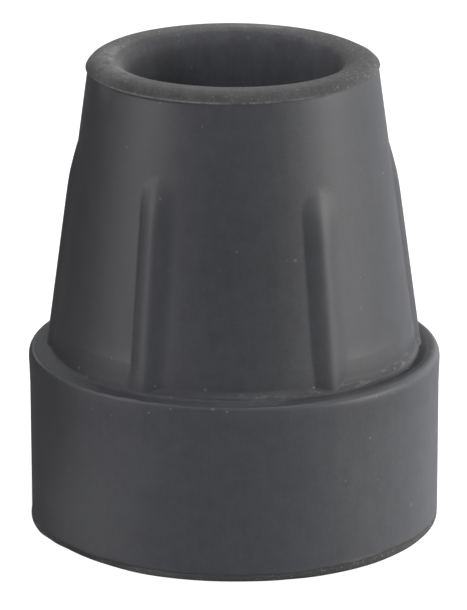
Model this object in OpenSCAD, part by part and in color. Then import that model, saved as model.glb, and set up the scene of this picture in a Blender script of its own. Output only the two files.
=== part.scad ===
// Rubber cane tip.
// One moulded piece that is pushed onto the end of a cane. A heavy base with a
// ringed tread carries a tapered neck, and the neck holds a blind socket for the
// shaft. Stands on its tread, with Z up through the socket.

/* [Whole tip] */
// Height from the tread to the top of the rim
height = 44; // [38:0.5:56]

/* [Base] */
// Diameter of the base just under its ledge
base_d = 38; // [38:0.5:46]
// Diameter of the base at the ground
sole_d = 37.8; // [37:0.1:46]
// Height of the ledge on top of the base
ledge_h = 16.5; // [12:0.5:20]
// Rounding of the outer edge of the ledge
ledge_round = 0.8; // [0.3:0.1:1.4]
// Rounding of the lower edge of the base
sole_round = 0.4; // [0.2:0.1:1]

/* [Neck] */
// Diameter of the neck, its taper carried down to the ledge
neck_foot_d = 33.8; // [31:0.2:34.2]
// Diameter of the neck, its taper carried up to the parting line
neck_top_d = 26.5; // [25:0.1:26.7]
// How far the skirt at the foot of the neck stands out from the taper
skirt_reach = 0.6; // [0.3:0.05:0.7]
// Lean of the skirt's lip from upright, in degrees
skirt_lean = 46; // [30:1:60]
// Radius of the hollow curve between the skirt and the taper
skirt_round = 1.8; // [0.5:0.1:4]
// Height of the skirt's lip above the ledge
lip_h = 0.3; // [0.1:0.05:0.8]

/* [Rim] */
// Diameter of the rim at the parting line
rim_d = 26.9; // [26.8:0.1:28]
// Height of the crown of the rim, from the parting line up
crown_h = 0.9; // [0.5:0.1:2]
// Lean of the outside of the crown from upright, in degrees
crown_lean = 26; // [5:1:40]
// Rounding on top of the crown
crown_round = 1.5; // [0.3:0.1:2]
// Height over which the neck swells out to the rim
bead_h = 0.6; // [0.3:0.1:2]

/* [Socket] */
// Diameter of the socket, the size of the cane
bore_d = 19; // [16:0.5:20]
// Depth of the socket from the top of the rim
bore_depth = 32; // [20:0.5:34]
// Rounding of the mouth of the socket
mouth_round = 1.6; // [0.4:0.1:1.8]
// Rounding round the floor of the socket
floor_round = 1; // [0.3:0.1:2]

/* [Ribs] */
// Number of ribs round the neck
rib_count = 6; // [3:1:12]
// Width of a rib where it leaves the neck
rib_w = 3.2; // [2:0.1:3.6]
// Height of a rib above the neck
rib_h = 0.45; // [0.3:0.05:0.6]
// Distance from the parting line down to where a rib starts to run out
rib_drop = 10.5; // [6:0.1:12]
// Length of the run-out at the top of a rib
rib_nose = 3.4; // [2.8:0.1:4.4]
// Length of the flare at the foot of a rib
rib_foot = 1.9; // [1:0.1:3]
// How far the foot of a rib flares out
foot_reach = 0.4; // [0.2:0.05:0.7]
// How deep a rib is rooted in the neck
rib_root = 1; // [0.6:0.1:1.6]

/* [Tread] */
// Number of ring grooves in the tread
groove_count = 3; // [1:1:3]
// Diameter of the round land in the middle of the tread
tread_centre_d = 8; // [5:0.5:9]
// Width of a groove at the ground
groove_w = 1.8; // [1:0.1:2.4]
// Width of a ring land between two grooves
land_w = 2.8; // [1.6:0.1:3]
// Depth of a groove
groove_depth = 1.5; // [0.8:0.1:3]
// How far each side of a groove leans in over its depth
groove_draft = 0.2; // [0.1:0.05:0.4]
// Rounding along the bottom of a groove
groove_round = 0.4; // [0.1:0.1:0.6]

/* [Hidden] */
$fn = 96;
rubber = [0.25, 0.26, 0.27];
parting_h = height - crown_h;
bead_start = parting_h - bead_h;
bore_floor = height - bore_depth;
// Share of an edge that the roundings at its two ends may use up
edge_share = 0.98;
// Largest turn between two points of a rounding, in degrees
arc_step = 12;

// The neck tapers evenly from the ledge to the parting line
neck_slope = (neck_foot_d - neck_top_d) / 2 / (parting_h - ledge_h);
neck_lean = atan(neck_slope);
function neck_r(z) = neck_foot_d / 2 - (z - ledge_h) * neck_slope;

// The skirt's lip, and the point where its lean would meet the taper
lip_z = ledge_h + lip_h;
lip_r = neck_r(lip_z) + skirt_reach;
skirt_rise = skirt_reach / (tan(skirt_lean) - neck_slope);
skirt_z = lip_z + skirt_rise;

// The crown leans in from the rim before it rounds over to the top
crown_r = rim_d / 2 - crown_h * tan(crown_lean);

// Radius and sweep of an arc that leaves a line by some rise over some run
function arc_radius(run, rise) = (run * run + rise * rise) / (2 * rise);
function arc_angle(run, rise) = 2 * atan(rise / run);

// A rib is a rod laid along the taper, sunk until rib_w of it shows
rib_top = parting_h - rib_drop;
rod_r = arc_radius(rib_w / 2, rib_h);
rod_length = (rib_top - lip_z) / cos(neck_lean) - rib_foot;
nose_r = arc_radius(rib_nose, rib_h);
nose_angle = arc_angle(rib_nose, rib_h);
foot_r = arc_radius(rib_foot, foot_reach);
foot_angle = arc_angle(rib_foot, foot_reach);

// Corners of an outline are [x, y, rounding], anticlockwise round the material
function at(c, i) = c[(i + len(c)) % len(c)];
function spot(c, i) = [at(c, i)[0], at(c, i)[1]];
function toward(a, b) = (b - a) / norm(b - a);
function turned(v, angle) =
    [v[0] * cos(angle) - v[1] * sin(angle), v[0] * sin(angle) + v[1] * cos(angle)];
function turn(c, i) = cross(spot(c, i) - spot(c, i - 1), spot(c, i + 1) - spot(c, i));
function half_angle(c, i) =
    acos(toward(spot(c, i), spot(c, i - 1)) * toward(spot(c, i), spot(c, i + 1))) / 2;
function wanted_reach(c, i) = at(c, i)[2] / tan(half_angle(c, i));
function edge_fit(c, i) =
    let (wanted = wanted_reach(c, i) + wanted_reach(c, i + 1))
    wanted == 0 ? 1 : min(1, edge_share * norm(spot(c, i + 1) - spot(c, i)) / wanted);
// A rounding shrinks only where its two edges are too short for it
function fitted(c, i) = at(c, i)[2] * min(edge_fit(c, i - 1), edge_fit(c, i));
function reach(c, i) = fitted(c, i) / tan(half_angle(c, i));
function arc_start(c, i) =
    spot(c, i) + reach(c, i) * toward(spot(c, i), spot(c, i - 1));
function arc_centre(c, i) =
    let (split = toward(spot(c, i), spot(c, i - 1)) + toward(spot(c, i), spot(c, i + 1)))
    spot(c, i) + split / norm(split) * fitted(c, i) / sin(half_angle(c, i));

// Points round corner i, no more than arc_step degrees apart
function corner_points(c, i) =
    at(c, i)[2] == 0 ? [spot(c, i)] :
    let (
        m = arc_centre(c, i),
        from = arc_start(c, i) - m,
        sweep = sign(turn(c, i)) * (180 - 2 * half_angle(c, i)),
        steps = ceil(abs(sweep) / arc_step)
    )
    [for (k = [0 : steps]) m + turned(from, k * sweep / steps)];

// Outline with every corner rounded by its own radius
module rounded_outline(c) {
    polygon([for (i = [0 : len(c) - 1]) each corner_points(c, i)]);
}

// Corners of one groove of the tread, from its inner to its outer side
function groove(inner_r) = [
    [inner_r, 0, 0],
    [inner_r + groove_draft, groove_depth, groove_round],
    [inner_r + groove_w - groove_draft, groove_depth, groove_round],
    [inner_r + groove_w, 0, 0]
];

// Half section of the tip without its ribs
module half_section() {
    rounded_outline(concat(
        [[0, 0, 0]],
        [for (i = [0 : groove_count - 1]) each groove(tread_centre_d / 2 + i * (groove_w + land_w))],
        [
            [sole_d / 2, 0, sole_round],
            [base_d / 2, ledge_h, ledge_round],
            [lip_r, ledge_h, 0],
            [lip_r, lip_z, 0],
            [neck_r(skirt_z), skirt_z, skirt_round],
            [neck_r(bead_start), bead_start, 0],
            [rim_d / 2, parting_h, 0],
            [crown_r, height, crown_round],
            [bore_d / 2, height, mouth_round],
            [bore_d / 2, bore_floor, floor_round],
            [0, bore_floor, 0]
        ]
    ));
}

// End of the rod, bent round the Y axis from the XY plane up
module bent_rod(bend_r, angle) {
    rotate([90, 0, 0])
        rotate_extrude(angle = angle)
            translate([bend_r, 0]) circle(r = rod_r);
}

// One rib on the +X side: a sunk rod that dips into the neck at its upper end
// and flares out over the skirt at its foot
module rib() {
    translate([neck_r(rib_top), 0, rib_top])
        rotate([0, -neck_lean, 0]) {
            translate([rib_h - nose_r, 0, 0]) bent_rod(nose_r - rod_r, nose_angle);
            translate([rib_h - rod_r, 0, -rod_length]) cylinder(h = rod_length, r = rod_r);
            translate([rib_h + foot_r, 0, -rod_length])
                rotate([0, 180, 0]) bent_rod(foot_r + rod_r, foot_angle);
        }
}

// The ribs, cut off inside the wall along a cone that follows the neck
module ribs() {
    difference() {
        for (i = [0 : rib_count - 1]) rotate([0, 0, i * 360 / rib_count]) rib();
        cylinder(h = height, r1 = neck_r(0) - rib_root, r2 = neck_r(height) - rib_root);
    }
}

module cane_tip() {
    color(rubber) {
        rotate_extrude() half_section();
        ribs();
    }
}

cane_tip();
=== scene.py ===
# Rubber cane tip: one moulding with a ribbed neck, a blind socket and a ringed tread
import math

import bpy
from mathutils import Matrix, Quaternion, Vector, noise


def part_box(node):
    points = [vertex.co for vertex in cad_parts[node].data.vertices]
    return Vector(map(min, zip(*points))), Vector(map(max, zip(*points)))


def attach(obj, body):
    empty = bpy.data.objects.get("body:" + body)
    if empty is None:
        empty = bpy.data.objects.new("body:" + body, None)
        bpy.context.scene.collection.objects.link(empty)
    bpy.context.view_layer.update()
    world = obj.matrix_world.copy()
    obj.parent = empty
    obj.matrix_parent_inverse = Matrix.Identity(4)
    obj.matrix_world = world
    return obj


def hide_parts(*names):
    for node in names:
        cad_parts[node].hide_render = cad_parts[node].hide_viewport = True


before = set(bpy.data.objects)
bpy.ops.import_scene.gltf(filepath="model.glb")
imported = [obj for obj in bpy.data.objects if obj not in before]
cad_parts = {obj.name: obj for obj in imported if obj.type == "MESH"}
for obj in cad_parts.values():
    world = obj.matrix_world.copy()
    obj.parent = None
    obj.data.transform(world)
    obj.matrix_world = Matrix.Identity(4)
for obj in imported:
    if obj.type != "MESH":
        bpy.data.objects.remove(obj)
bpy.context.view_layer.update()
mm = 0.001
scene = bpy.context.scene

# Azimuths are in degrees round the tip: 0 faces the front, 90 the right, 180 the back
view = {
    "aim": (-0.018, 0.0, 20.16),  # mm, the point that the camera looks at
    "distance": 428.94,  # mm
    "azimuth": -1.0,
    "elevation": 17.729,
    "roll": -0.114,
    "lens": 273.46,
    "sensor": 36.0,
    "clip": (0.02, 20.0),  # m
}


def outward(azimuth, elevation=0.0):
    a, e = math.radians(azimuth), math.radians(elevation)
    return Vector((math.sin(a) * math.cos(e), -math.cos(a) * math.cos(e), math.sin(e)))


def makeCamera():
    back = outward(view["azimuth"], view["elevation"])
    data = bpy.data.cameras.new("camera")
    data.lens = view["lens"]
    data.sensor_width = view["sensor"]
    data.clip_start, data.clip_end = view["clip"]
    camera = bpy.data.objects.new("camera", data)
    scene.collection.objects.link(camera)
    camera.location = (Vector(view["aim"]) + back * view["distance"]) * mm
    camera.rotation_mode = "QUATERNION"
    turn = Quaternion((0.0, 0.0, 1.0), math.radians(view["roll"]))
    camera.rotation_quaternion = (-back).to_track_quat("-Z", "Y") @ turn
    scene.camera = camera


makeCamera()
print("camera placed")

# Sizes of the tip's parts, in mm
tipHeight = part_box("cane_tip")[1].z / mm
tolerance = 0.01  # heights and radii that differ by less count as the same

neck = {
    "ledgeZ": 16.5,
    "footRadius": 16.9,  # the taper carried down to the ledge
    "topRadius": 13.25,  # the taper carried up to the parting line
    "partingZ": tipHeight - 0.93,
    "swellZ": tipHeight - 1.2,  # where the neck starts to swell out to the rim
    "swellRound": 0.25,
    "skirtZ": 19.2,  # below this the rows follow the skirt
}
ribs = {
    # azimuth, width, how far its left and its right side spread at the foot, how much lower its nose sits
    "set": [
        (-29.5, 3.2, 0.6, 0.0, 0.0),
        (30.4, 3.5, 0.0, -0.6, 1.3),
        (90.0, 3.3, 0.2, 0.0, 0.3),
        (150.0, 3.4, 0.1, 0.3, 0.6),
        (210.0, 3.2, 0.3, 0.1, 0.2),
        (270.0, 3.3, 0.0, 0.1, 0.0),
    ],
    "height": 0.45,
    "round": 0.4,  # roundness of the crown between two flat flanks
    "spreadZ": (18.8, 16.6),  # the foot spreads from the first height down to the second
    "noseZ": (33.9, 36.0),  # the sides close in from the first height to the second
    "closed": 0.995,  # how much of the way they close in
    "sink": 0.8,  # how fast a rib goes down into the neck above its nose
    # height on the neck and share of the rib's full height that is left there
    "crown": [(31.0, 1.0), (32.2, 0.97), (33.2, 0.87), (34.6, 0.52), (35.3, 0.3), (35.8, 0.13), (36.1, 0.0)],
    "creases": (0.04, 0.22),  # softness of the crease on its left and on its right
    "noseCrease": 0.4,  # share of that softness left at the nose
}
skirt = {
    # azimuth, radius of the lip, its height, rise and curl of the flare above it,
    # width and depth of the ditch at its foot or, below 0, height of the fillet there, raggedness
    "run": [
        (-90.0, 17.00, 16.72, 0.5, 1.5, 0.30, -0.16, 0.01),
        (-75.0, 16.93, 16.85, 0.7, 1.5, 0.45, -0.30, 0.03),
        (-60.0, 16.93, 16.92, 0.8, 1.3, 0.50, -0.34, 0.05),
        (-46.0, 17.05, 16.80, 0.8, 1.3, 0.45, -0.24, 0.04),
        (-36.0, 17.10, 16.72, 0.7, 1.4, 0.40, -0.16, 0.04),
        (-29.0, 17.15, 16.70, 0.7, 1.5, 0.35, -0.14, 0.04),
        (-22.0, 17.38, 16.72, 0.6, 1.8, 0.35, -0.10, 0.07),
        (-14.0, 17.20, 16.84, 0.6, 1.8, 0.30, -0.08, 0.08),
        (-2.0, 17.26, 16.86, 0.6, 1.8, 0.30, -0.08, 0.09),
        (10.0, 17.30, 16.83, 0.6, 1.8, 0.30, -0.06, 0.08),
        (19.0, 17.25, 16.68, 0.7, 1.8, 0.30, -0.02, 0.06),
        (25.0, 17.45, 16.60, 0.8, 1.8, 0.45, 0.06, 0.05),
        (31.0, 17.55, 16.58, 1.0, 1.8, 0.60, 0.11, 0.04),
        (38.0, 17.25, 16.57, 1.0, 1.6, 0.80, 0.15, 0.02),
        (47.0, 17.15, 16.57, 0.9, 1.5, 0.90, 0.17, 0.015),
        (57.0, 17.30, 16.57, 1.0, 1.5, 0.80, 0.18, 0.02),
        (66.0, 17.26, 16.56, 1.0, 1.5, 0.75, 0.14, 0.02),
        (76.0, 17.10, 16.58, 0.8, 1.5, 0.75, 0.10, 0.02),
        (90.0, 17.05, 16.62, 0.6, 1.5, 0.75, 0.06, 0.03),
        (120.0, 17.35, 16.70, 1.0, 1.5, 0.45, 0.06, 0.04),
        (150.0, 17.25, 16.64, 1.0, 1.5, 0.50, 0.08, 0.03),
        (180.0, 17.40, 16.66, 1.1, 1.5, 0.35, 0.02, 0.04),
        (215.0, 17.20, 16.70, 1.0, 1.5, 0.30, -0.10, 0.03),
        (245.0, 17.15, 16.72, 0.9, 1.5, 0.30, -0.14, 0.03),
    ],
    # how far out across the ditch, in widths of it, and how deep in it
    "ditch": [(0.0, 0.0), (0.05, 0.7), (0.2, 1.0), (0.5, 0.78), (0.85, 0.35), (1.15, 0.0)],
    "lipRise": 0.04,  # least height of the lip over the ledge
    "lipOut": 0.015,  # how far the foot of the lip stands out of it
    "flatLeft": 0.36,  # least width of the ledge outside the ditch
    "blend": 0.08,  # softness of the meeting of ribs and skirt
    "crowding": 1.3,  # the rows crowd together towards the lip
}
rim = {
    "flashRadius": 13.37,
    "flashRidge": 0.035,
    "flashAbove": (0.04, 0.08),  # how far in and how far up the ridge's upper flank ends
    "flashBelow": (0.03, 0.1),  # the same for its lower flank, down
    "tuck": 0.08,  # how much less the right of the flash line stands out than the left
    "tuckAzimuth": 70.0,
    # heights over the parting line between which that fades out, above the line and below it
    "tuckAbove": (0.5, 0.1),
    "tuckBelow": (-0.32, -0.1),
    "crownRadius": 13.01,
    "crownRound": 1.5,
    "mouthRound": 1.6,
    "mouthSpread": 0.45,  # how much further out the mouth is at its left and right than in front
    "mouthZ": (39.5, 42.8),  # it widens from the first height up to the second
    "mouthRadius": (11.6, 10.7),  # and less and less from the second radius out to the first
    # azimuth, and how far the crown stands out over the parting line there
    "bulge": [
        (-90.0, 0.05), (-60.0, 0.0), (50.0, 0.0), (75.0, 0.14), (90.0, 0.23), (103.0, 0.10),
        (118.0, -0.10), (150.0, -0.12), (180.0, -0.08), (210.0, -0.12), (240.0, -0.12), (257.0, -0.04),
    ],
    "bulgeRadius": (12.05, 12.9),
    "bulgeRise": (-0.05, 0.1),  # heights over the parting line between which it comes in
    "shift": 0.08,  # the crown sits this far to the left of the neck
    "shiftRise": (-0.15, -0.05),
    "lean": 0.06,  # the middle of the crown is this much lower than its left, and its right as much again
}
socket = {"radius": 9.5, "floorZ": tipHeight - 32.0, "floorRound": 1.0}
outsideRadius = socket["radius"] + 1.0  # what lies further out is not the socket
base = {
    "topRadius": 19.06,
    "sideRadius": 18.985,
    "sideZ": (12.6, 1.1),  # the side is straight between these heights
    "soleRadius": 18.96,
    "soleRound": 0.25,
    "soleDraft": 0.02,
    "soleLand": 1.3,  # width of the sole that has every column
    "offset": 0.05,  # the base sits this far to the right of the neck
    "offsetZ": (14.5, 19.0),  # which fades out between these heights
    # azimuth, radius where the flat of the ledge ends, height of the rounding, burr along it
    "edge": [
        (-90.0, 18.52, 0.80, 0.00),
        (-75.0, 18.66, 0.55, 0.06),
        (-60.0, 18.90, 0.20, 0.14),
        (-24.0, 18.93, 0.16, 0.15),
        (-2.0, 18.90, 0.20, 0.10),
        (20.0, 18.72, 0.40, 0.03),
        (40.0, 18.62, 0.60, 0.02),
        (65.0, 18.45, 0.75, 0.00),
        (95.0, 18.22, 0.95, 0.00),
        (125.0, 18.15, 1.10, 0.00),
        (165.0, 18.55, 0.60, 0.03),
        (205.0, 18.65, 0.50, 0.05),
        (240.0, 18.52, 0.75, 0.00),
    ],
    "burrWidth": 0.3,
    # height and radius of the side below the edge
    "side": [(13.0, 18.985), (14.5, 19.03), (15.6, 19.07), (16.5, 19.06)],
}
trim = {
    "height": 0.72,
    "footZ": 0.42,  # lower end of the band, over the rounding of the sole
    "wave": 0.12,  # how much the height of the cut wanders
    "depth": 0.015,
    "cutShare": 0.1,  # share of the band over which it is cut in to its depth
    "rough": 0.035,
    "roughDown": 3.0,  # how fast the roughness changes down the band
    "lead": 0.1,  # one more row this far above the cut keeps it crisp
    "spreadZ": (0.85, 0.15),  # the foot stands out from the first height down to the second
    "spreadRadius": (17.4, 18.6),
    # azimuth, how far the foot of the trimmed band stands out
    "run": [
        (-90.0, 0.10),
        (-80.0, 0.15),
        (-73.0, 0.16),
        (-64.0, -0.08),
        (-55.0, -0.30),
        (-42.0, -0.27),
        (-25.0, -0.02),
        (0.0, 0.0),
        (12.0, 0.10),
        (23.0, 0.24),
        (39.0, 0.27),
        (53.0, 0.18),
        (65.0, 0.08),
        (90.0, 0.0),
        (140.0, -0.06),
        (200.0, 0.05),
        (245.0, 0.0),
    ],
}
tread = {
    "centre": 4.0, "count": 3, "width": 1.8, "land": 2.8,
    "depth": 1.5, "draft": 0.2, "round": 0.4, "edgeRound": 0.12,
}
# Unevenness round the tip: share, waves to a turn and seed of each layer
uneven = {
    "lipRadius": [(1.0, 70, 3.0), (0.6, 190, 5.0)],
    "lipHeight": [(0.8, 60, 8.0), (0.6, 170, 9.0)],
    "ditchDepth": [(0.5, 50, 12.0)],
    "ditchWidth": [(0.3, 30, 14.0)],
    "burr": [(0.8, 90, 16.0)],
    "trimTop": [(1.0, 14, 21.0), (0.7, 60, 22.0)],
    "trimRough": [(1.0, 150, 25.0)],
    "flash": [(1.0, 40, 31.0), (0.7, 150, 32.0)],
}
# The mesh itself: columns go round the tip, rows down it
grid = {
    "ribColumns": 46,
    "ribSpan": 8.6,  # degrees from the middle of a rib to its side
    "plainColumns": 52,  # between two ribs
    "fewer": 3,  # a row without every column keeps one in this many, which bridge() counts on
    "fullFromTop": 5.0,  # this far down the socket the rows have every column
    "arcStep": 14.0,  # degrees between two rows of a rounding
    "treadStep": 22.0,  # the same in the tread
    "edgeShare": 0.98,  # how much of an edge the roundings at its two ends may use up
    "noseRows": (36.6, 30.6, 0.28),  # between these heights the rows lie this close together
    # zones from the skirt down to the side of the base, with the shares of the way through each
    "upperZones": [
        ("skirt", [t / 24.0 for t in range(1, 25)]),
        ("lip", [0.1, 0.55]),
        ("ditch", [out for out, down in skirt["ditch"]]),
        ("ledge", [0.25, 0.5, 0.75]),
        ("edge", [-1.0, -0.5, -1.0 / 6.0, 0.0, 0.17, 0.33, 0.5, 0.67, 0.83, 1.0]),  # below 0 on the flat
        ("side", [0.06, 0.12, 0.18, 0.25, 0.33, 0.45, 0.6, 0.8, 1.0]),
    ],
    "lowerZones": [("trim", [-1.0, 0.0, 0.1, 0.25, 0.5, 0.75])],  # below 0 above the cut
}


def smooth(low, high, value):
    t = min(1.0, max(0.0, (value - low) / (high - low)))
    return t * t * (3.0 - 2.0 * t)


def softMax(a, b, blend):
    gap = max(blend - abs(a - b), 0.0) / blend
    return max(a, b) + gap * gap * blend * 0.25


def wobble(name, azimuth, height=0.0):
    # even noise round the tip, about 0
    total = 0.0
    for share, waves, seed in uneven[name]:
        spot = outward(azimuth) * (waves / (2.0 * math.pi))
        total += share * noise.noise(Vector((spot.x, spot.y, seed + height)))
    return total


def alongTable(table, value):
    for (low, a), (high, b) in zip(table, table[1:]):
        if value <= high:
            return a + (b - a) * max(0.0, (value - low) / (high - low))
    return table[-1][1]


def aroundTable(table, azimuth):
    # values between two rows of a table that goes once round the tip
    azimuth = (azimuth - table[0][0]) % 360.0 + table[0][0]
    rows = table + [(table[0][0] + 360.0,) + table[0][1:]]
    for low, high in zip(rows, rows[1:]):
        if azimuth <= high[0]:
            t = smooth(low[0], high[0], azimuth)
            return [a + (b - a) * t for a, b in zip(low[1:], high[1:])]


def neckRadius(z):
    share = (z - neck["ledgeZ"]) / (neck["partingZ"] - neck["ledgeZ"])
    return neck["footRadius"] + share * (neck["topRadius"] - neck["footRadius"])


def ribRise(azimuth, z):
    # how far a rib stands out of the neck here, below 0 where there is none, and how soft its crease is
    off, width, left, right, down = min(
        (((azimuth - rib[0] + 180.0) % 360.0 - 180.0,) + rib[1:] for rib in ribs["set"]),
        key=lambda near: abs(near[0]))
    low, tip = ribs["noseZ"]
    spread = (left if off < 0.0 else right) * smooth(*ribs["spreadZ"], z)
    up = z + down
    closing = min(ribs["closed"], max(0.0, (up - low) / (tip - low)))
    half = (width / 2.0 + spread) * math.sqrt(1.0 - closing * closing)
    t, k = abs(math.radians(off)) * neckRadius(z) / half, ribs["round"]
    share = alongTable(ribs["crown"], up)
    fall = (math.sqrt(t * t + k * k) - k) / (math.sqrt(1.0 + k * k) - k)
    rise = ribs["height"] * share * (1.0 - fall) - ribs["sink"] * max(0.0, up - tip)
    crease = ribs["creases"][0] if off < 0.0 else ribs["creases"][1]
    return rise, crease * (ribs["noseCrease"] + (1.0 - ribs["noseCrease"]) * share)


def junctionAt(azimuth):
    # the skirt's lip, the flare above it, the ditch at its foot and the edge of the ledge
    radius, height, flare, curl, width, depth, rag = aroundTable(skirt["run"], azimuth)
    flat, drop, burr = aroundTable(base["edge"], azimuth)
    out, = aroundTable(trim["run"], azimuth)
    radius += rag * wobble("lipRadius", azimuth)
    height += rag * wobble("lipHeight", azimuth)
    lipZ = max(height, neck["ledgeZ"] + skirt["lipRise"])
    reach = radius - neckRadius(lipZ)
    rise, crease = ribRise(azimuth, lipZ)
    lipRadius = neckRadius(lipZ) + softMax(softMax(rise, 0.0, crease), reach, skirt["blend"])
    depth *= 1.0 + wobble("ditchDepth", azimuth)
    burr *= 1.0 + wobble("burr", azimuth)
    across = skirt["ditch"][-1][0]
    width = min(width * (1.0 + wobble("ditchWidth", azimuth)), (flat - skirt["flatLeft"] - lipRadius) / across)
    return {
        "lipZ": lipZ, "reach": reach, "lipRadius": lipRadius, "flare": flare, "curl": curl,
        "width": width, "across": across, "depth": max(depth, 0.0), "fillet": max(-depth, 0.0),
        "flat": flat, "drop": drop, "burr": burr, "out": out,
    }


# A corner is radius, height, rounding, and the most that two rows may lie apart up to the next corner
def roundedRows(corners, arcStep):
    spots = [Vector(c[:2]) for c in corners]
    last = len(spots) - 1
    half = [0.0] * len(spots)
    for i in range(1, last):
        half[i] = (spots[i - 1] - spots[i]).angle(spots[i + 1] - spots[i]) / 2.0
    reach = [c[2] / math.tan(h) if h else 0.0 for c, h in zip(corners, half)]
    fit = [1.0] * len(spots)
    for i in range(last):
        wanted = reach[i] + reach[i + 1]
        most = grid["edgeShare"] * (spots[i + 1] - spots[i]).length
        if wanted > most:
            fit[i] = min(fit[i], most / wanted)
            fit[i + 1] = min(fit[i + 1], most / wanted)
    rows = []
    for i, spot in enumerate(spots):
        arc = [spot]
        if reach[i]:
            before = (spots[i - 1] - spot).normalized()
            after = (spots[i + 1] - spot).normalized()
            away = corners[i][2] * fit[i] / math.sin(half[i])
            centre = spot + (before + after).normalized() * away
            start = spot + before * reach[i] * fit[i] - centre
            sweep = math.pi - 2.0 * half[i]
            sweep *= 1.0 if before.cross(after) < 0.0 else -1.0
            steps = max(2, math.ceil(math.degrees(abs(sweep)) / arcStep))
            arc = []
            for k in range(steps + 1):
                c, s = math.cos(sweep * k / steps), math.sin(sweep * k / steps)
                arc.append(centre + Vector((start.x * c - start.y * s, start.x * s + start.y * c)))
        if rows:
            gap = arc[0] - rows[-1]
            pieces = max(1, math.ceil(gap.length / corners[i - 1][3]))
            rows += [rows[-1] + gap * k / pieces for k in range(1, pieces)]
        rows += arc
    return rows


def topCorners():
    # from the middle of the socket's floor over the rim to the top of the skirt
    flash, parting = rim["flashRadius"], neck["partingZ"]
    (inAbove, up), (inBelow, down) = rim["flashAbove"], rim["flashBelow"]
    noseTop, noseLow, noseStep = grid["noseRows"]
    return [
        (0.0, socket["floorZ"], 0.0, 2.5),
        (socket["radius"], socket["floorZ"], socket["floorRound"], 4.0),
        (socket["radius"], tipHeight, rim["mouthRound"], 0.5),
        (rim["crownRadius"], tipHeight, rim["crownRound"], 0.3),
        (flash - inAbove, parting + up, 0.0, 0.2),
        (flash, parting, 0.0, 0.2),
        (flash - inBelow, parting - down, 0.0, 0.3),
        (neckRadius(neck["swellZ"]), neck["swellZ"], neck["swellRound"], 0.8),
        (neckRadius(noseTop), noseTop, 0.0, noseStep),
        (neckRadius(noseLow), noseLow, 0.0, 1.3),
        (neckRadius(neck["skirtZ"]), neck["skirtZ"], 0.0, 1.0),
    ]


def sideCorners():
    # from the edge of the ledge down to the trimmed edge
    high, low = base["sideZ"]
    return [(base["sideRadius"], high, 0.0, 2.2), (base["sideRadius"], low, 0.0, 0.3)]


def soleCorners():
    # from the sole's rounding in over the tread to its middle
    radius = base["soleRadius"]
    corners = [
        (radius, trim["footZ"], 0.0, 0.2),
        (radius - base["soleDraft"], 0.0, base["soleRound"], 0.9),
        (radius - base["soleLand"], 0.0, 0.0, 1.5),
    ]
    for i in reversed(range(tread["count"])):
        inner = tread["centre"] + i * (tread["width"] + tread["land"])
        outer = inner + tread["width"]
        corners += [
            (outer, 0.0, tread["edgeRound"], 0.9),
            (outer - tread["draft"], tread["depth"], tread["round"], 0.9),
            (inner + tread["draft"], tread["depth"], tread["round"], 0.9),
            (inner, 0.0, tread["edgeRound"], 1.5),
        ]
    return corners + [(0.0, 0.0, 0.0, 1.0)]


def tipRows():
    # each row is its zone, where in the zone it is, and whether it has every column
    full, landFrom = tipHeight - grid["fullFromTop"], base["soleRadius"] - base["soleLand"]
    rows = []
    for spot in roundedRows(topCorners(), grid["arcStep"]):
        rows.append(("plain", (spot.x, spot.y), spot.y > full or spot.x > outsideRadius))
    rows += [(zone, share, True) for zone, shares in grid["upperZones"] for share in shares]
    rows += [("plain", (spot.x, spot.y), True) for spot in roundedRows(sideCorners(), grid["arcStep"])]
    rows += [(zone, share, True) for zone, shares in grid["lowerZones"] for share in shares]
    for spot in roundedRows(soleCorners(), grid["treadStep"]):
        rows.append(("plain", (spot.x, spot.y), spot.x > landFrom + tolerance))
    return rows


def placedInZone(zone, share, azimuth, junction):
    # radius and height of one vertex between the skirt and the trimmed foot
    ledge, lipZ, lipRadius = neck["ledgeZ"], junction["lipZ"], junction["lipRadius"]
    ditchEnd = lipRadius + junction["width"] * junction["across"]
    if zone == "skirt":
        z = neck["skirtZ"] + (lipZ - neck["skirtZ"]) * (1.0 - (1.0 - share) ** skirt["crowding"])
        rise, crease = ribRise(azimuth, z)
        up = min(1.0, max(0.0, 1.0 - (z - lipZ) / junction["flare"]))
        flared = junction["reach"] * up ** junction["curl"]
        return neckRadius(z) + softMax(softMax(rise, 0.0, crease), flared, skirt["blend"]), z
    if zone == "lip":
        return lipRadius + skirt["lipOut"], lipZ + (ledge + junction["fillet"] - lipZ) * share
    if zone == "ditch":
        down = junction["depth"] * alongTable(skirt["ditch"], share)
        up = junction["fillet"] * (1.0 - share / junction["across"]) ** 2
        return lipRadius + junction["width"] * share, ledge - down + up
    if zone == "ledge":
        return ditchEnd + (junction["flat"] - base["burrWidth"] - ditchEnd) * share, ledge
    if zone == "edge" and share < 0.0:
        return junction["flat"] + base["burrWidth"] * share, ledge + junction["burr"] * (1.0 + share) ** 2
    if zone == "edge":
        across, down = math.sin(share * math.pi / 2.0), math.cos(share * math.pi / 2.0)
        r = junction["flat"] + (base["topRadius"] - junction["flat"]) * across
        return r, ledge + junction["burr"] * down ** 2 - junction["drop"] * (1.0 - down)
    if zone == "side":
        top = ledge - junction["drop"]
        z = top + (base["side"][0][0] - top) * share
        return alongTable(base["side"], z), z
    # what is left is the trimmed band
    top = trim["height"] + trim["wave"] * wobble("trimTop", azimuth)
    z = top + (trim["footZ"] - top) * share if share >= 0.0 else top - trim["lead"] * share
    r = base["sideRadius"] - trim["depth"] * smooth(0.0, trim["cutShare"], share)
    if share > 0.0:
        r -= trim["rough"] * (0.5 + wobble("trimRough", azimuth, share * trim["roughDown"]))
    return r + junction["out"] * smooth(*trim["spreadZ"], z), z


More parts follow.
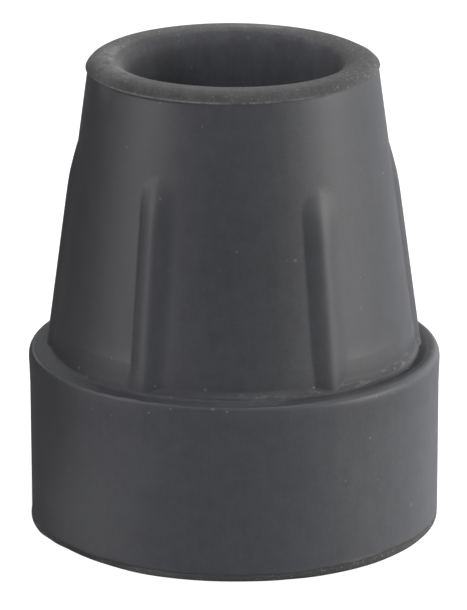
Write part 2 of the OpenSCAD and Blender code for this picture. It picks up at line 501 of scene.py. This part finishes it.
def placedPlain(r, z, azimuth, junction):
    # a point of the turned outline, bent to what its azimuth has there
    side, overParting = math.sin(math.radians(azimuth)), z - neck["partingZ"]
    r += junction["out"] * smooth(*trim["spreadZ"], z) * smooth(*trim["spreadRadius"], r)
    if r > outsideRadius:
        if z > neck["skirtZ"] - tolerance:
            rise, crease = ribRise(azimuth, z)
            r += softMax(rise, 0.0, crease)
        tucked = 0.5 + 0.5 * math.cos(math.radians(azimuth - rim["tuckAzimuth"]))
        near = smooth(*rim["tuckAbove"], overParting) * smooth(*rim["tuckBelow"], overParting)
        r -= rim["tuck"] * near * tucked
        if abs(overParting) < tolerance:
            r += rim["flashRidge"] * (0.5 + wobble("flash", azimuth))
    r += rim["mouthSpread"] * side ** 2 * smooth(*rim["mouthZ"], z) * smooth(*rim["mouthRadius"], r)
    if overParting > tolerance:
        bulge, = aroundTable(rim["bulge"], azimuth)
        r += bulge * smooth(*rim["bulgeRadius"], r) * smooth(*rim["bulgeRise"], overParting)
        z -= rim["lean"] * (1.0 + side) * smooth(neck["partingZ"], tipHeight, z)
    return r, z


def columnAzimuths():
    # closer together over the ribs than between them
    turn, span = 360.0 / len(ribs["set"]), grid["ribSpan"]
    over, between = grid["ribColumns"], grid["plainColumns"]
    sector = [-span + 2.0 * span * k / over for k in range(over)]
    sector += [span + (turn - 2.0 * span) * k / between for k in range(between)]
    return [90.0 + turn * i + a for i in range(len(ribs["set"])) for a in sector]


def bridge(a, b):
    # faces between two rings, one of which may be a point or have three times fewer points
    if len(a) == 1:
        return [(a[0], b[(k + 1) % len(b)], b[k]) for k in range(len(b))]
    if len(b) == 1:
        return [(a[k], a[(k + 1) % len(a)], b[0]) for k in range(len(a))]
    if len(a) == len(b):
        n = len(a)
        return [(a[k], a[(k + 1) % n], b[(k + 1) % n], b[k]) for k in range(n)]
    few, many = (a, b) if len(a) < len(b) else (b, a)
    faces = []
    for k in range(len(few)):
        f0, f1 = few[k], few[(k + 1) % len(few)]
        m = [many[(k * 3 + j) % len(many)] for j in range(4)]
        fan = [(f0, m[1], m[0]), (f0, f1, m[2], m[1]), (f1, m[3], m[2])]
        faces += [f[::-1] for f in fan] if few is b else fan
    return faces


def sideways(r, z):
    # how far to the right of the neck this part of the tip sits
    onOutside = r > socket["radius"] + tolerance or z < socket["floorZ"] - tolerance
    offset = base["offset"] * (1.0 - smooth(*base["offsetZ"], z)) if onOutside else 0.0
    return offset - rim["shift"] * smooth(*rim["shiftRise"], z - neck["partingZ"])


def buildTip():
    rows = tipRows()
    azimuths = columnAzimuths()
    junctions = [junctionAt(a) for a in azimuths]
    vertices, faces, rings = [], [], []
    for zone, where, everyColumn in rows:
        if zone == "plain" and where[0] < 1e-6:
            rings.append([len(vertices)])
            vertices.append((0.0, 0.0, where[1] * mm))
            continue
        step = 1 if everyColumn else grid["fewer"]
        rings.append(list(range(len(vertices), len(vertices) + len(azimuths) // step)))
        for azimuth, junction in list(zip(azimuths, junctions))[::step]:
            if zone == "plain":
                r, z = placedPlain(*where, azimuth, junction)
            else:
                r, z = placedInZone(zone, where, azimuth, junction)
            out = outward(azimuth) * r
            vertices.append(((out.x + sideways(r, z)) * mm, out.y * mm, z * mm))
    for i in range(1, len(rings)):
        if rows[i - 1][:2] == ("trim", 0.0):
            trimmedFrom = len(faces)
        faces += bridge(rings[i - 1], rings[i])
    mesh = bpy.data.meshes.new("rubber_tip")
    mesh.from_pydata(vertices, [], faces)
    mesh.validate()
    mesh.shade_smooth()
    piece = bpy.data.objects.new("rubber_tip", mesh)
    scene.collection.objects.link(piece)
    print("tip built:", len(rows), "rows,", sum(len(f) - 2 for f in faces), "triangles")
    return piece, trimmedFrom


tipPiece, trimmedFrom = buildTip()
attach(tipPiece, "root")
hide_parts("cane_tip")


# Colours are linear, lengths in mm
finish = {
    "colour": (0.0462, 0.0478, 0.0541),
    "rimColour": (0.0512, 0.0508, 0.0530),
    "dust": (0.30, 0.30, 0.30),
    "specular": 0.3,
    "grainSize": 0.22,
    # strength of the cloudiness and of the streaks down the sides
    "cloud": 0.2,
    "streak": 0.2,
    # strength elsewhere and on top of the rim
    "mottle": (0.44, 0.7),
    "grain": (0.38, 0.6),
    "rubbed": 0.7,  # strength of the rubbed look in the socket and on top of the rim
    # how much paler or darker each place is
    "tones": {
        "base": 1.28,
        # painted light: the front and left of the ledge, which lie in shade, made paler
        "paintedLightLedge": 1.7,
        # painted shade: the left side of the base darker above its foot
        "paintedShadeBaseLeft": 0.76,
        # painted shade: the right of the rim top darker, where the light falls strongest
        "rimRight": 0.88,
        # painted shade: the socket darker inside
        "inside": 0.88,
        # painted light: the socket's left and right walls made paler
        "socketSides": 1.35,
        # painted shade: the inner wall of the mouth darker on the left, against the light it catches
        "mouthLeft": 0.72,
    },
    "scuffed": 0.22,  # how much darker the scuffs are
    # spacing and size of the scattered specks
    "specks": (0.75, 0.13),
    "powder": (0.26, 0.12),
    "chips": (0.42, 0.13),
    # share of the places that have a speck: on the skirt, everywhere, and of powder on the rim
    "speckShares": (0.30, 0.05, 0.75),
    # how thickly the pale dust colour lies in marks, and in the films that add to them; the limb glow, the
    # haze's glow, the nose highlights and the highlights along the lip and the ledge's edge among them are
    # painted light
    "dustAndPaintedLightMarks": {
        "specks": 0.36, "powder": 0.12, "chips": 0.42, "paintedLimbGlow": 0.3, "flecks": 0.42, "flashLine": 0.34,
    },
    "dustAndPaintedLightFilms": {
        "rubsAndNoseHighlight": 0.14, "smears": 0.18, "edgeHighlight": 0.08, "films": 0.2, "lipHighlight": 0.05, "hazeAndPaintedGlow": 0.12,
    },
    "roughness": 0.5,
    # what the mottle, some places, the socket and dust add to it
    "roughMottle": 0.12,
    "rougher": {"rimTop": 0.18, "skirtFoot": 0.08, "ledge": 0.22},
    "rougherInside": 0.3,
    "rougherDust": 0.5,
    # strength of the bump, the mottle's part in it beside the grain's, and its depth
    "bump": {"rimTop": 0.9, "skirtFoot": 0.45},
    "bumpElsewhere": 0.16,
    "bumpMottle": 0.8,
    "bumpDepth": 0.06,
}
# Noise that breaks the marks up: stretch along x, y and z, scale, detail and roughness
noises = {
    "streak": ((1.0, 1.0, 0.1), 1.3, 3.0, 0.6),
    "broken": ((1.0, 1.0, 1.0), 2.2, 4.0, 0.65),
    "scraped": ((1.0, 1.0, 1.0), 1.6, 4.0, 0.7),
    "cloudy": ((1.0, 1.0, 1.0), 0.9, 4.0, 0.65),
    "drawn": ((0.6, 0.6, 2.6), 1.0, 4.0, 0.6),
    "dashes": ((1.0, 1.0, 0.0), 0.55, 4.0, 0.65),
    "ragged": ((1.0, 1.0, 1.0), 2.6, 3.0, 0.6),
    "rubbed": ((1.0, 1.0, 0.6), 0.9, 5.0, 0.7),
    "patch": ((1.0, 1.0, 0.0), 0.12, 2.0, 0.5),
    "cuts": ((1.0, 1.0, 3.0), 1.6, 4.0, 0.7),
}
# Heights that a pale line follows: painted highlights along the lip and the ledge's edge, dust smears, and a
# pale line along the flash line
lines = {"lip": 16.66, "smear": 16.9, "edge": 16.58, "flash": 43.08}
# Each mask is a product of other masks and of ramps: what a ramp follows, where it starts, where it ends,
# and the values there if they aren't 0 and 1. It may follow x, y, z, the radius, how far out to either
# side it is, how far above or below one of the lines, the mottle or one of the noises
masks = {
    # where on the tip this is
    "outside": [("radius", 10.1, 10.5)],
    "inside": [("radius", 10.5, 10.1)],
    "rimTop": [("z", 42.9, 43.2)],
    "rimOutside": ["rimTop", "outside"],
    # where painted shade darkens the right of the rim top
    "rimRight": ["rimTop", ("x", 4.0, 10.0)],
    "crown": [("radius", 10.5, 11.1, 0.15, 1.0)],
    "right": [("x", 4.0, 8.0)],
    "base": [("z", 16.7, 16.3), ("radius", 18.3, 18.8)],
    "ledge": [("z", 16.85, 16.65), ("radius", 18.8, 18.4), ("z", 15.6, 16.0)],
    # painted light: the front and left of the ledge, where it lies in shade
    "paintedLightLedge": ["ledge", ("x", 9.0, 0.0), ("x", -17.0, -12.0, 0.6, 1.0)],
    "skirtFoot": [("z", 19.5, 16.6), ("radius", 18.95, 18.7), "outside"],
    # painted shade on the left side of the base, fading out towards its foot
    "paintedShadeBaseLeft": ["base", ("x", -12.5, -18.0), ("z", 3.0, 7.5)],
    # where painted light makes the socket's left and right walls paler
    "socketSides": ["inside", ("side", 4.5, 8.5)],
    # where painted shade darkens the inner left of the mouth
    "mouthLeft": [("radius", 10.9, 10.5), ("z", 40.0, 42.2), ("x", -3.5, -7.0)],
    # painted shade at the foot of the neck, where it meets the ledge, stronger on the right
    "paintedFootShade": [("z", 18.4, 17.0), ("radius", 17.9, 17.6), "outside", ("x", 4.0, 13.0, 0.13, 0.32)],
    # where scattered specks are
    "rimSpecks": ["rimTop", ("x", -6.0, 8.0, 0.3, 0.65), ("y", 3.0, 8.0, 1.0, 0.35)],
    "rimChips": ["rimTop", ("side", 8.5, 11.5, 0.1, 0.75), ("y", -9.0, -3.0, 0.35, 1.0)],
    # pale lines, whole on the left and broken into dashes on the right: one along the flash line, and a painted
    # highlight along the ledge's edge
    "whole": [("x", 0.5, -2.5)],
    "flashDashes": [("dashes", 0.40, 0.62)],
    "edgeDashes": [("dashes", 0.35, 0.6)],
    "flash": [
        ("flash", 0.12, 0.05), ("radius", 12.9, 13.2),
        ("ragged", 0.35, 0.6, 0.55, 1.15), ("x", 9.0, 2.0, 0.15, 1.0),
    ],
    "edge": [("edge", 0.16, 0.06), ("radius", 18.6, 18.8), ("x", 8.0, -4.0, 0.25, 1.0)],
    # painted highlight along the lip's edge on the right
    "lipHighlight": [("lip", 0.14, 0.04), ("radius", 17.75, 17.5), ("x", 4.0, 9.0)],
    "smears": [("drawn", 0.56, 0.72), ("smear", 0.6, 0.25), "skirtFoot", ("x", -3.0, 1.0)],
    # what the marks below are kept to
    "scuffs": [("scraped", 0.40, 0.60)],
    "paintedLimbGlow": [("cloudy", 0.2, 0.6, 0.35, 1.0), ("radius", 12.5, 13.1)],
    "rubsAndNoseHighlight": [("broken", 0.42, 0.62)],
    "hazeAndPaintedGlow": [("z", 43.1, 42.95)],
    "films": [("mottle", 0.3, 0.6), "rimTop", ("radius", 10.7, 11.1)],
}
# Marks at given places: how much of each is solid, then azimuth, height, radius of the surface and size
marks = {
    # small pale dust flecks, and one painted highlight
    "flecks": (0.15, [
        (-2.8, 16.27, 19.05, 0.16),
        (-22.4, 16.70, 18.95, 0.14),
        (-43.4, 14.82, 19.05, 0.15),
        (39.2, 12.20, 18.99, 0.16),
        (53.8, 16.42, 18.0, 0.15),
        (41.2, 15.98, 19.06, 0.14),
        (57.5, 4.10, 18.99, 0.18),
        (-24.5, 15.66, 19.06, 0.13),
        (-18.3, 16.25, 19.06, 0.12),
        (40.5, 17.05, 17.2, 0.20),
        (25.0, 17.9, 17.2, 0.15),
        (-70.5, 17.9, 16.9, 0.14),
        # painted highlight on the nose of the left rib
        (-33.4, 35.15, 14.45, 0.22),
        (-40.5, 24.6, 16.0, 0.12),
        (0.1, 29.9, 15.05, 0.11),
    ]),
    # wider rubbed patches at the lip, and first a painted highlight on the nose of the right rib
    "rubsAndNoseHighlight": (0.2, [
        (31.8, 34.75, 14.5, 0.75),
        (36.5, 17.4, 17.3, 0.6),
        (-52.5, 16.85, 17.0, 0.35),
        (6.5, 16.9, 17.35, 0.8),
        (13.0, 16.85, 17.35, 0.7),
    ]),
    # haze under the rim on the left, partly dust and partly a painted glow along the edge there, and a painted
    # glow low on the left of the base that stands for light from the floor
    "hazeAndPaintedGlow": (0.0, [
        (-84.0, 42.3, 13.3, 4.0),
        (-62.0, 42.9, 13.3, 2.2),
        (-56.0, 3.0, 19.0, 11.0),
        (-80.0, 0.5, 19.0, 8.0),
    ]),
    # painted glow, laid on like dust, on the left of the rim and of the neck under it
    "paintedLimbGlow": (0.0, [
        (-102.0, 42.2, 13.3, 6.6),
        (-94.0, 39.0, 13.8, 5.0),
    ]),
    # darker scuffs low on the left of the neck
    "scuffs": (0.1, [
        (-57.4, 24.2, 15.8, 0.7),
        (-52.5, 24.0, 15.8, 0.5),
        (-64.0, 24.4, 15.8, 0.8),
        (-54.1, 23.6, 15.9, 0.6),
        (-70.0, 27.0, 15.4, 2.6),
        (-68.0, 31.5, 14.8, 2.2),
    ]),
    # powdery film on top of the rim
    "films": (0.1, [
        (-98.0, 43.7, 11.8, 6.5),
        (-65.0, 43.8, 11.2, 5.0),
        (165.0, 43.8, 11.5, 5.0),
    ]),
}
# The band that was trimmed round the foot, and the sole. Pairs are for where it is smooth and rasped
trimmedFinish = {
    "colour": (0.0485, 0.0478, 0.0486),
    "grainSize": 0.3,
    "cloud": 0.2,
    "mottle": 0.3,
    "cuts": 0.7,
    # painted light and shade: the band paler on the left and darker on the right, against how the light falls
    "across": (-9.0, 9.0, 1.45, 0.72),  # from x to x, brightness there
    "rasped": [("patch", 0.44, 0.54), ("x", -13.5, -15.5), ("x", 4.0, 8.0)],  # where any of these ramps is full
    "specks": (0.30, 0.11),
    "speckShare": (0.15, 0.9),
    # the specks are dust, made paler on the left, where the band lies in shade: partly painted light
    "speckDustAndPaintedLight": (-15.0, -8.0, 0.6, 0.2),  # from x to x, how pale the specks are there
    "tone": (1.0, 1.15),
    "roughness": (0.55, 0.78),
    "bump": (0.3, 0.8),
    "bumpCuts": 1.5,
    "bumpDepth": 0.08,
}
# Scale, detail and roughness of the moulded rubber's own noise; the grain's scale is given by its size
rubberNoise = {"cloud": (0.09, 2.0, 0.5), "mottle": (0.7, 4.0, 0.6), "grain": (3.0, 0.6)}


def addNode(tree, kind, **settings):
    node = tree.nodes.new(kind)
    for name, value in settings.items():
        setattr(node, name, value)
    return node


def feed(tree, socket, value):
    # plug in the output of another node, or set a plain value
    if isinstance(value, bpy.types.NodeSocket):
        tree.links.new(value, socket)
    else:
        socket.default_value = value


def maths(tree, operation, *values, clamp=False):
    node = addNode(tree, "ShaderNodeMath", operation=operation, use_clamp=clamp)
    for socket, value in zip(node.inputs, values):
        feed(tree, socket, value)
    return node.outputs[0]


def vectorMaths(tree, operation, *values):
    node = addNode(tree, "ShaderNodeVectorMath", operation=operation)
    for socket, value in zip(node.inputs, values):
        feed(tree, socket, value)
    return node.outputs["Value" if operation == "DISTANCE" else "Vector"]


def scaled(tree, vector, factor):
    node = addNode(tree, "ShaderNodeVectorMath", operation="SCALE")
    feed(tree, node.inputs[0], vector)
    feed(tree, node.inputs["Scale"], factor)
    return node.outputs["Vector"]


def ramp(tree, value, low, high, toLow=0.0, toHigh=1.0):
    node = addNode(tree, "ShaderNodeMapRange", interpolation_type="SMOOTHSTEP")
    given = {"Value": value, "From Min": low, "From Max": high, "To Min": toLow, "To Max": toHigh}
    for name, number in given.items():
        feed(tree, node.inputs[name], number)
    return node.outputs["Result"]


def between(tree, mask, without, full):
    # one value where the mask is 0, the other where it is 1
    return ramp(tree, mask, 0.0, 1.0, without, full)


def noiseField(tree, spot, scale, detail, rough):
    node = addNode(tree, "ShaderNodeTexNoise")
    feed(tree, node.inputs["Vector"], spot)
    feed(tree, node.inputs["Scale"], scale)
    node.inputs["Detail"].default_value = detail
    node.inputs["Roughness"].default_value = rough
    return node.outputs["Fac"]


def namedNoise(tree, spot, name):
    stretch, scale, detail, rough = noises[name]
    return noiseField(tree, vectorMaths(tree, "MULTIPLY", spot, stretch), scale, detail, rough)


def chained(tree, operation, values):
    result = values[0]
    for value in values[1:]:
        result = maths(tree, operation, result, value)
    return result


def product(tree, *values):
    return chained(tree, "MULTIPLY", values)


def largest(tree, *values):
    return chained(tree, "MAXIMUM", values)


def swing(tree, value, amount):
    # a 0 to 1 field turned into a factor about 1
    if isinstance(amount, bpy.types.NodeSocket):
        off = maths(tree, "MULTIPLY_ADD", amount, -0.5, 1.0)
    else:
        off = 1.0 - amount / 2.0
    return maths(tree, "MULTIPLY_ADD", value, amount, off)


def startGroup(name, inputs, outputs):
    tree = bpy.data.node_groups.new(name, "ShaderNodeTree")
    for label, kind, value in inputs:
        socket = tree.interface.new_socket(label, in_out="INPUT", socket_type=kind)
        if value is not None:
            socket.default_value = value
    for label in outputs:
        tree.interface.new_socket(label, in_out="OUTPUT", socket_type="NodeSocketFloat")
    return tree, tree.nodes.new("NodeGroupInput").outputs, tree.nodes.new("NodeGroupOutput").inputs


def makeGrainGroup():
    # cloudiness, mottling and fine grain of moulded rubber
    tree, given, out = startGroup(
        "rubber grain",
        [("Spot", "NodeSocketVector", None), ("Grain Size", "NodeSocketFloat", 0.2)],
        ["Cloud", "Mottle", "Grain"])
    scale = maths(tree, "DIVIDE", 1.0, given["Grain Size"])
    tree.links.new(noiseField(tree, given["Spot"], *rubberNoise["cloud"]), out["Cloud"])
    tree.links.new(noiseField(tree, given["Spot"], *rubberNoise["mottle"]), out["Mottle"])
    tree.links.new(noiseField(tree, given["Spot"], scale, *rubberNoise["grain"]), out["Grain"])
    return tree


def makeSpeckGroup():
    # scattered round specks: about one in each cube of Spacing, of which Share are there
    tree, given, out = startGroup(
        "dust specks",
        [("Spot", "NodeSocketVector", None), ("Spacing", "NodeSocketFloat", 1.0),
         ("Size", "NodeSocketFloat", 0.1), ("Share", "NodeSocketFloat", 0.3)],
        ["Mask"])
    cells = addNode(tree, "ShaderNodeTexVoronoi", feature="F1")
    feed(tree, cells.inputs["Vector"], given["Spot"])
    feed(tree, cells.inputs["Scale"], maths(tree, "DIVIDE", 1.0, given["Spacing"]))
    parts = addNode(tree, "ShaderNodeSeparateColor")
    feed(tree, parts.inputs["Color"], cells.outputs["Color"])
    there = maths(tree, "LESS_THAN", parts.outputs["Red"], given["Share"])
    away = maths(tree, "MULTIPLY", cells.outputs["Distance"], given["Spacing"])
    size = maths(tree, "MULTIPLY", given["Size"], maths(tree, "ADD", 0.5, parts.outputs["Green"]))
    dot = ramp(tree, away, size, maths(tree, "MULTIPLY", size, 0.4))  # solid in the middle, soft outside
    pale = between(tree, parts.outputs["Blue"], 0.35, 1.0)
    tree.links.new(product(tree, dot, there, pale), out["Mask"])
    return tree


def useGroup(tree, group, **values):
    node = addNode(tree, "ShaderNodeGroup", node_tree=group)
    for name, value in values.items():
        feed(tree, node.inputs[name.replace("_", " ")], value)
    return node.outputs


def specksOf(tree, group, spot, look, share):
    spacing, size = look
    return useGroup(tree, group, Spot=spot, Spacing=spacing, Size=size, Share=share)["Mask"]


def spotsAt(tree, spot, solid, places):
    # round marks at given places, each solid in the middle and soft outside
    rounds = []
    for azimuth, z, radius, size in places:
        centre = outward(azimuth) * radius
        away = vectorMaths(tree, "DISTANCE", spot, (centre.x, centre.y, z))
        rounds.append(ramp(tree, away, size, size * solid))
    return largest(tree, *rounds)


def startMaterial(name):
    # the material's tree and shader, and the place on the surface in mm
    material = bpy.data.materials.new(name)
    material.use_nodes = True
    tree = material.node_tree
    shader = tree.nodes["Principled BSDF"]
    shader.inputs["Specular IOR Level"].default_value = finish["specular"]
    spot = scaled(tree, addNode(tree, "ShaderNodeTexCoord").outputs["Object"], 1.0 / mm)
    return material, tree, shader, spot


def placeFields(tree, spot):
    # what a mask can follow by place
    axes = addNode(tree, "ShaderNodeSeparateXYZ")
    feed(tree, axes.inputs[0], spot)
    x, y, z = axes.outputs
    squares = maths(tree, "ADD", maths(tree, "MULTIPLY", x, x), maths(tree, "MULTIPLY", y, y))
    return {"x": x, "y": y, "z": z, "radius": maths(tree, "SQRT", squares), "side": maths(tree, "ABSOLUTE", x)}


def blend(tree, mask, first, second):
    mix = addNode(tree, "ShaderNodeMix", data_type="RGBA")
    for socket, value in zip((mix.inputs[0], mix.inputs[6], mix.inputs[7]), (mask, first, second)):
        feed(tree, socket, value + (1.0,) if isinstance(value, tuple) else value)
    return mix.outputs[2]


def tinted(tree, colour, factor, dustAndLightMask):
    # the colour brightened by factor, with the pale dust colour over it, which also lays on the painted glows
    # and highlights
    return blend(tree, dustAndLightMask, scaled(tree, colour, factor), finish["dust"])


def bumped(tree, shader, height, strength, depth):
    bump = addNode(tree, "ShaderNodeBump")
    feed(tree, bump.inputs["Height"], height)
    feed(tree, bump.inputs["Strength"], strength)
    bump.inputs["Distance"].default_value = depth * mm
    tree.links.new(bump.outputs["Normal"], shader.inputs["Normal"])


def weighted(tree, amounts, layers):
    # the strongest of some layers, each times its own amount
    return largest(tree, *(product(tree, layers[name], amount) for name, amount in amounts.items()))


def makeMoulded(grainGroup, speckGroup):
    material, tree, shader, spot = startMaterial("moulded rubber")
    grain = useGroup(tree, grainGroup, Spot=spot, Grain_Size=finish["grainSize"])
    fields = {**placeFields(tree, spot), "mottle": grain["Mottle"]}
    for name, height in lines.items():
        fields[name] = maths(tree, "ABSOLUTE", maths(tree, "SUBTRACT", fields["z"], height))
    for name in ("streak", "broken", "scraped", "cloudy", "drawn", "dashes", "ragged", "rubbed"):
        fields[name] = namedNoise(tree, spot, name)

    mask = {}
    for name, rules in masks.items():
        parts = [mask[r] if isinstance(r, str) else ramp(tree, fields[r[0]], *r[1:]) for r in rules]
        mask[name] = product(tree, *parts)

    # flecks, dust and rubbed places
    layers = {"smears": mask["smears"], "lipHighlight": mask["lipHighlight"]}
    for name, (solid, places) in marks.items():
        spots = spotsAt(tree, spot, solid, places)
        layers[name] = product(tree, spots, mask[name]) if name in mask else spots
    crown = largest(tree, mask["crown"], mask["right"])
    onSkirt, everywhere, onRim = finish["speckShares"]
    rimSpecks, skirtSpecks = product(tree, mask["rimSpecks"], crown), product(tree, mask["skirtFoot"], onSkirt)
    shares = {
        "specks": largest(tree, rimSpecks, skirtSpecks, everywhere),
        "powder": product(tree, mask["rimTop"], crown, onRim),
        "chips": product(tree, mask["rimChips"], crown),
    }
    for name, share in shares.items():
        layers[name] = specksOf(tree, speckGroup, spot, finish[name], share)
    layers["flashLine"] = product(tree, mask["flash"], largest(tree, mask["flashDashes"], mask["whole"]))
    layers["edgeHighlight"] = product(tree, mask["edge"], largest(tree, mask["edgeDashes"], mask["whole"]))
    dustAndPaintedLightMarks, dustAndPaintedLightFilms = (weighted(tree, finish[kind], layers) for kind in ("dustAndPaintedLightMarks", "dustAndPaintedLightFilms"))
    # dust, with the painted glows and highlights among its marks and films
    dust = maths(tree, "ADD", dustAndPaintedLightMarks, dustAndPaintedLightFilms, clamp=True)

    # brightness and colour, with painted light and shade from most of the tones and at the neck's foot
    tones = [between(tree, mask[name], 1.0, tone) for name, tone in finish["tones"].items()]
    # painted shade at the neck's foot, together with the darker scuffs
    dark = largest(tree, mask["paintedFootShade"], product(tree, layers["scuffs"], finish["scuffed"]))
    rubbed = product(tree, largest(tree, mask["inside"], mask["rimTop"]), finish["rubbed"])
    factor = product(
        tree, *tones, maths(tree, "SUBTRACT", 1.0, dark), swing(tree, fields["rubbed"], rubbed),
        swing(tree, grain["Cloud"], finish["cloud"]),
        swing(tree, grain["Mottle"], between(tree, mask["rimTop"], *finish["mottle"])),
        swing(tree, grain["Grain"], between(tree, mask["rimTop"], *finish["grain"])),
        swing(tree, fields["streak"], finish["streak"]))
    colour = blend(tree, mask["rimOutside"], finish["colour"], finish["rimColour"])
    feed(tree, shader.inputs["Base Color"], tinted(tree, colour, factor, dust))

    # roughness and bump
    rough = maths(tree, "MULTIPLY_ADD", grain["Mottle"], finish["roughMottle"], finish["roughness"])
    rougher = largest(
        tree, weighted(tree, finish["rougher"], mask), product(tree, dust, finish["rougherDust"]),
        between(tree, mask["inside"], 0.0, finish["rougherInside"]))
    feed(tree, shader.inputs["Roughness"], maths(tree, "ADD", rough, rougher, clamp=True))
    lumps = maths(tree, "MULTIPLY_ADD", grain["Mottle"], finish["bumpMottle"], grain["Grain"])
    strength = largest(tree, weighted(tree, finish["bump"], mask), finish["bumpElsewhere"])
    bumped(tree, shader, lumps, strength, finish["bumpDepth"])
    return material


def makeTrimmed(grainGroup, speckGroup):
    look = trimmedFinish
    material, tree, shader, spot = startMaterial("trimmed rubber")
    grain = useGroup(tree, grainGroup, Spot=spot, Grain_Size=look["grainSize"])
    fields = placeFields(tree, spot)
    for name in ("patch", "cuts"):
        fields[name] = namedNoise(tree, spot, name)
    rasped = largest(tree, *(ramp(tree, fields[name], *numbers) for name, *numbers in look["rasped"]))
    specks = specksOf(tree, speckGroup, spot, look["specks"], between(tree, rasped, *look["speckShare"]))
    # dust specks, paler on the shaded left as painted light
    dust = product(tree, specks, ramp(tree, fields["x"], *look["speckDustAndPaintedLight"]))
    # the across ramp paints light and shade on the band, paler on the left and darker on the right
    factor = product(
        tree, swing(tree, grain["Cloud"], look["cloud"]), swing(tree, grain["Mottle"], look["mottle"]),
        swing(tree, fields["cuts"], look["cuts"]), between(tree, rasped, *look["tone"]),
        ramp(tree, fields["x"], *look["across"]))
    feed(tree, shader.inputs["Base Color"], tinted(tree, look["colour"], factor, dust))
    feed(tree, shader.inputs["Roughness"], between(tree, rasped, *look["roughness"]))
    lumps = maths(tree, "MULTIPLY_ADD", fields["cuts"], look["bumpCuts"], grain["Grain"])
    bumped(tree, shader, lumps, between(tree, rasped, *look["bump"]), look["bumpDepth"])
    return material


grainGroup = makeGrainGroup()
speckGroup = makeSpeckGroup()
tipPiece.data.materials.append(makeMoulded(grainGroup, speckGroup))
tipPiece.data.materials.append(makeTrimmed(grainGroup, speckGroup))
for face in tipPiece.data.polygons[trimmedFrom:]:
    face.material_index = 1
print("finishes made")


stage = {
    "floorSize": 3.0,  # m, from the middle to each side
    "floorDrop": 0.00005,  # m, keeps the floor clear of the flat sole
    "floorColour": 0.2,
    "floorRoughness": 0.9,
    "glow": 0.95,  # how white the floor looks to the camera
    "glossGlow": 0.03,  # share of the white surroundings that matt rubber picks up
}
# Size in m, distance, spread in degrees and height that it faces, in m
lampKinds = {
    "low": ((0.3, 0.2), 0.9, 40.0, 0.02),
    "high": ((0.4, 0.35), 0.9, 40.0, 0.02),
    "top": ((0.6, 0.6), 0.9, 40.0, 0.02),
    "socket": ((0.02, 0.02), 0.3, 6.0, 0.052),
}
lampColours = {
    "white": (1.0, 1.0, 1.0),
    "cream": (1.0, 0.985, 0.96),
    "warm": (1.0, 0.975, 0.93),
    "rosy": (1.0, 0.965, 1.0),
}
# Name, kind, azimuth and elevation that it faces the tip from, which of the light it gives, power and colour
lamps = [
    ("right", "low", 95.0, 8.0, "diffuse", 0.39, "cream"),
    ("right back", "low", 135.0, 8.0, "diffuse", 1.82, "warm"),
    ("front", "low", 5.0, 8.0, "diffuse", 0.19, "white"),
    ("front top", "high", 5.0, 38.0, "diffuse", 0.12, "white"),
    ("left top", "high", -60.0, 38.0, "diffuse", 0.14, "white"),
    ("left gloss", "low", -68.0, 8.0, "glossy", 0.39, "rosy"),
    ("right gloss", "low", 75.0, 8.0, "glossy", 0.66, "cream"),
    ("back gloss", "high", -165.0, 38.0, "glossy", 0.29, "white"),
    ("top gloss", "top", 110.0, 80.0, "glossy", 0.94, "white"),
    ("right edge gloss", "low", 150.0, 8.0, "glossy", 0.04, "white"),
    ("socket", "socket", 0.0, 42.0, "diffuse", 0.0007, "white"),
    ("socket left", "socket", 65.0, 42.0, "diffuse", 0.0003, "white"),
    ("socket right", "socket", -65.0, 42.0, "diffuse", 0.0005, "white"),
]


def seenWhite(tree):
    # 1 for the camera and through glass, less in a reflection
    path = addNode(tree, "ShaderNodeLightPath").outputs
    gloss = maths(tree, "MULTIPLY", path["Is Glossy Ray"], stage["glossGlow"])
    return largest(tree, path["Is Camera Ray"], path["Is Transmission Ray"], gloss)


def makeFloor():
    half, drop = stage["floorSize"], -stage["floorDrop"]
    mesh = bpy.data.meshes.new("floor")
    corners = [(-half, -half, drop), (half, -half, drop), (half, half, drop), (-half, half, drop)]
    mesh.from_pydata(corners, [], [(0, 1, 2, 3)])
    floor = bpy.data.objects.new("floor", mesh)
    scene.collection.objects.link(floor)
    material = bpy.data.materials.new("white table")
    material.use_nodes = True
    tree = material.node_tree
    shader = tree.nodes["Principled BSDF"]
    shader.inputs["Base Color"].default_value = (stage["floorColour"],) * 3 + (1.0,)
    shader.inputs["Roughness"].default_value = stage["floorRoughness"]
    shader.inputs["Emission Color"].default_value = (1.0, 1.0, 1.0, 1.0)
    tree.links.new(maths(tree, "MULTIPLY", seenWhite(tree), stage["glow"]), shader.inputs["Emission Strength"])
    mesh.materials.append(material)


def makeWorld():
    world = bpy.data.worlds.new("studio")
    scene.world = world
    world.use_nodes = True
    tree = world.node_tree
    background = tree.nodes["Background"]
    background.inputs["Color"].default_value = (1.0, 1.0, 1.0, 1.0)
    tree.links.new(seenWhite(tree), background.inputs["Strength"])


def makeLamps():
    for name, kind, azimuth, elevation, given, power, colour in lamps:
        size, away, spread, faces = lampKinds[kind]
        data = bpy.data.lights.new(name, "AREA")
        data.shape = "RECTANGLE"
        data.size, data.size_y = size
        data.energy = power
        data.color = lampColours[colour]
        data.spread = math.radians(spread)
        light = bpy.data.objects.new(name, data)
        scene.collection.objects.link(light)
        out = outward(azimuth, elevation)
        light.location = out * away + Vector((0.0, 0.0, faces))
        light.rotation_mode = "QUATERNION"
        light.rotation_quaternion = out.to_track_quat("Z", "Y")
        light.visible_diffuse = given == "diffuse"
        light.visible_glossy = given == "glossy"


makeFloor()
makeWorld()
makeLamps()
scene.view_settings.view_transform = "Standard"
print("floor, world and lamps set up")
